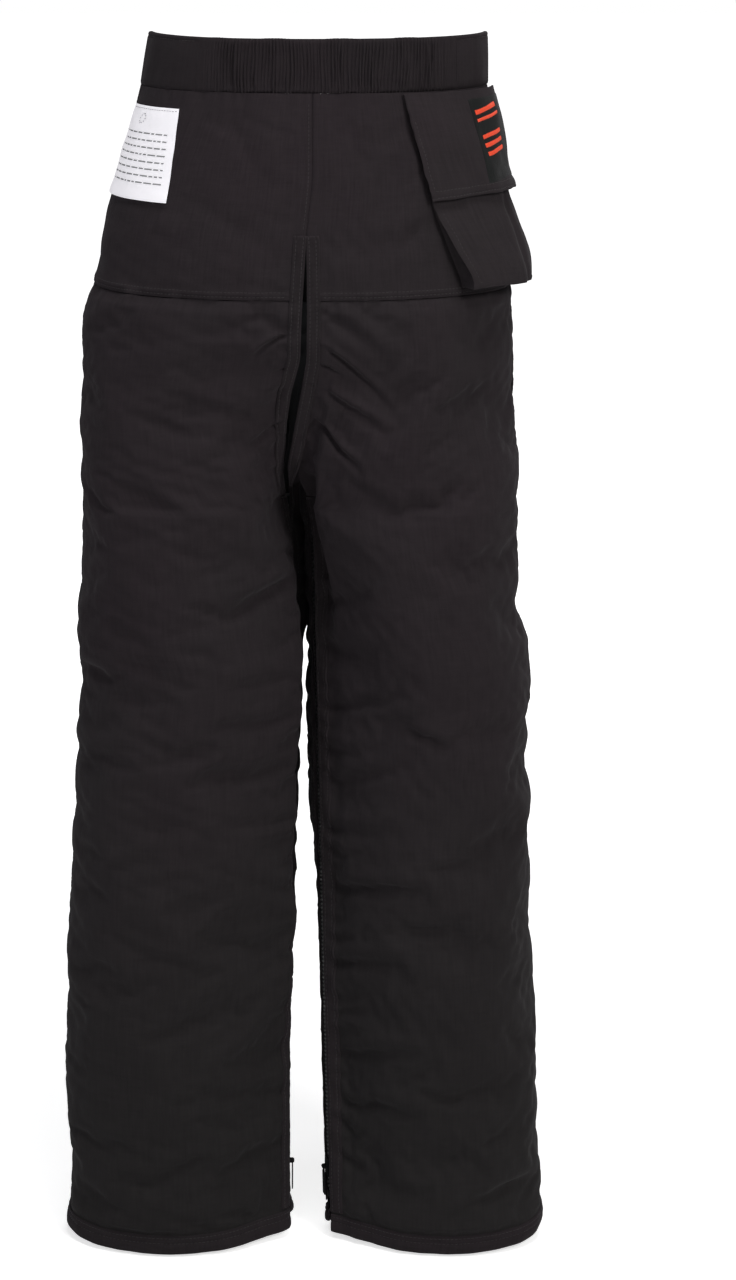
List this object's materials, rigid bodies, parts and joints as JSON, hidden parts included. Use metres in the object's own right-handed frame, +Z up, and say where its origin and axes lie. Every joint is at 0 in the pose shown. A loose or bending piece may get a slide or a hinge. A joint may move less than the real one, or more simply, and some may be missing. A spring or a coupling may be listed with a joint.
{
  "type": "chainsaw chaps",
  "caption": "Full-wrap padded leg chaps with elastic back waistband, back yoke, open seat slit, inner-leg zips, hip pocket with flap and front belt buckle.",
  "frame": {"origin": "bottom centre of the whole garment, at hem level midway between the legs", "axes": "+Z up from the hems to the waistband, +Y from the wearer's back to the front, +X to the wearer's right, the pocket side"},
  "size_m": [0.4204, 0.2234, 1.0598],
  "materials": {
    "shell_fabric": "black charcoal plain-weave polyester, soft sheen, slightly warm",
    "band_fabric": "black plain-weave polyester, gathered or double stitched",
    "lining_fabric": "black mesh-backed lining",
    "cut_resistant_layers": "layered loose-knit protective yarn, cream",
    "webbing": "black woven webbing and tape",
    "buckle_plastic": "black moulded acetal",
    "zip_chain": "black zip tape with moulded black teeth",
    "zip_metal": "dark gunmetal",
    "label": "white woven satin label",
    "embroidery": "orange embroidery thread on a dark patch"
  },
  "bodies": {
    "garment": {"waistband_back": "band_fabric", "waist_elastic": "webbing", "waistband_front_left": "band_fabric", "back_yoke_left": "shell_fabric", "leg_back_panel_left": "shell_fabric", "leg_front_panel_left": "shell_fabric", "protective_pad_left": "cut_resistant_layers", "lining_left": "lining_fabric", "hem_band_left": "band_fabric", "slit_binding_left": "band_fabric", "zip_facing_left": "band_fabric", "front_binding_left": "band_fabric", "left_zip_stringer_front": "zip_chain", "left_zip_stringer_back": "zip_chain", "left_zip_retainer": "zip_chain", "left_zip_end_stop": "zip_metal", "left_zip_guard": "lining_fabric", "waistband_front_right": "band_fabric", "back_yoke_right": "shell_fabric", "leg_back_panel_right": "shell_fabric", "leg_front_panel_right": "shell_fabric", "protective_pad_right": "cut_resistant_layers", "lining_right": "lining_fabric", "hem_band_right": "band_fabric", "slit_binding_right": "band_fabric", "zip_facing_right": "band_fabric", "front_binding_right": "band_fabric", "right_zip_stringer_front": "zip_chain", "right_zip_stringer_back": "zip_chain", "right_zip_retainer": "zip_chain", "right_zip_end_stop": "zip_metal", "right_zip_guard": "lining_fabric", "pocket_bag": "shell_fabric", "pocket_loop_tape": "webbing", "care_label": "label", "buckle_female": "buckle_plastic", "belt_webbing_left": "webbing", "belt_webbing_right": "webbing"},
    "left_zip_slider": {"left_zip_slider": "zip_metal"},
    "left_zip_pull": {"left_zip_pull": "zip_metal"},
    "right_zip_slider": {"right_zip_slider": "zip_metal"},
    "right_zip_pull": {"right_zip_pull": "zip_metal"},
    "pocket_flap": {"pocket_flap": "shell_fabric", "flap_hook_tape": "webbing", "flap_patch": "embroidery"},
    "buckle_male": {"buckle_male": "buckle_plastic"},
    "buckle_prong_upper": {"buckle_prong_upper": "buckle_plastic"},
    "buckle_prong_lower": {"buckle_prong_lower": "buckle_plastic"}
  },
  "joints": [
    {"name": "left_zip_slide", "type": "slide", "parent": "garment", "child": "left_zip_slider", "axis": [0.0016, 0, 1], "range_m": [0, 0.57]},
    {"name": "right_zip_slide", "type": "slide", "parent": "garment", "child": "right_zip_slider", "axis": [-0.0254, 0, 0.9997], "range_m": [0, 0.57]},
    {"name": "left_zip_pull_swing", "type": "hinge", "parent": "left_zip_slider", "child": "left_zip_pull", "pos_m": [-0.01012, -0.00001, 0.05785], "axis": [0, -1, 0], "range_deg": [0, 170]},
    {"name": "right_zip_pull_swing", "type": "hinge", "parent": "right_zip_slider", "child": "right_zip_pull", "pos_m": [0.01739, -0.01321, 0.05785], "axis": [-0.2085, 0.978, 0], "range_deg": [0, 170]},
    {"name": "pocket_flap_lift", "type": "hinge", "parent": "garment", "child": "pocket_flap", "pos_m": [0.16258, -0.03383, 1.00985], "axis": [-0.4088, -0.9126, 0], "range_deg": [0, 110]},
    {"name": "buckle_release", "type": "slide", "parent": "garment", "child": "buckle_male", "axis": [1, 0, 0], "range_m": [0, 0.026], "deforming": ["belt_webbing_right"]},
    {"name": "buckle_prong_squeeze", "type": "hinge", "parent": "buckle_male", "child": "buckle_prong_upper", "pos_m": [0.01503, 0.0976, 1.01955], "axis": [0, -1, 0], "range_deg": [0, 7], "stiffness_Nm_per_rad": 0.6},
    {"name": "buckle_prong_squeeze_lower", "type": "hinge", "parent": "buckle_male", "child": "buckle_prong_lower", "pos_m": [0.01503, 0.0976, 0.98855], "axis": [0, 1, 0], "range_deg": [0, 7], "stiffness_Nm_per_rad": 0.6}
  ],
  "couplings": [
    {"joint": "buckle_prong_squeeze_lower", "follows": "buckle_prong_squeeze", "ratio": 1}
  ]
}
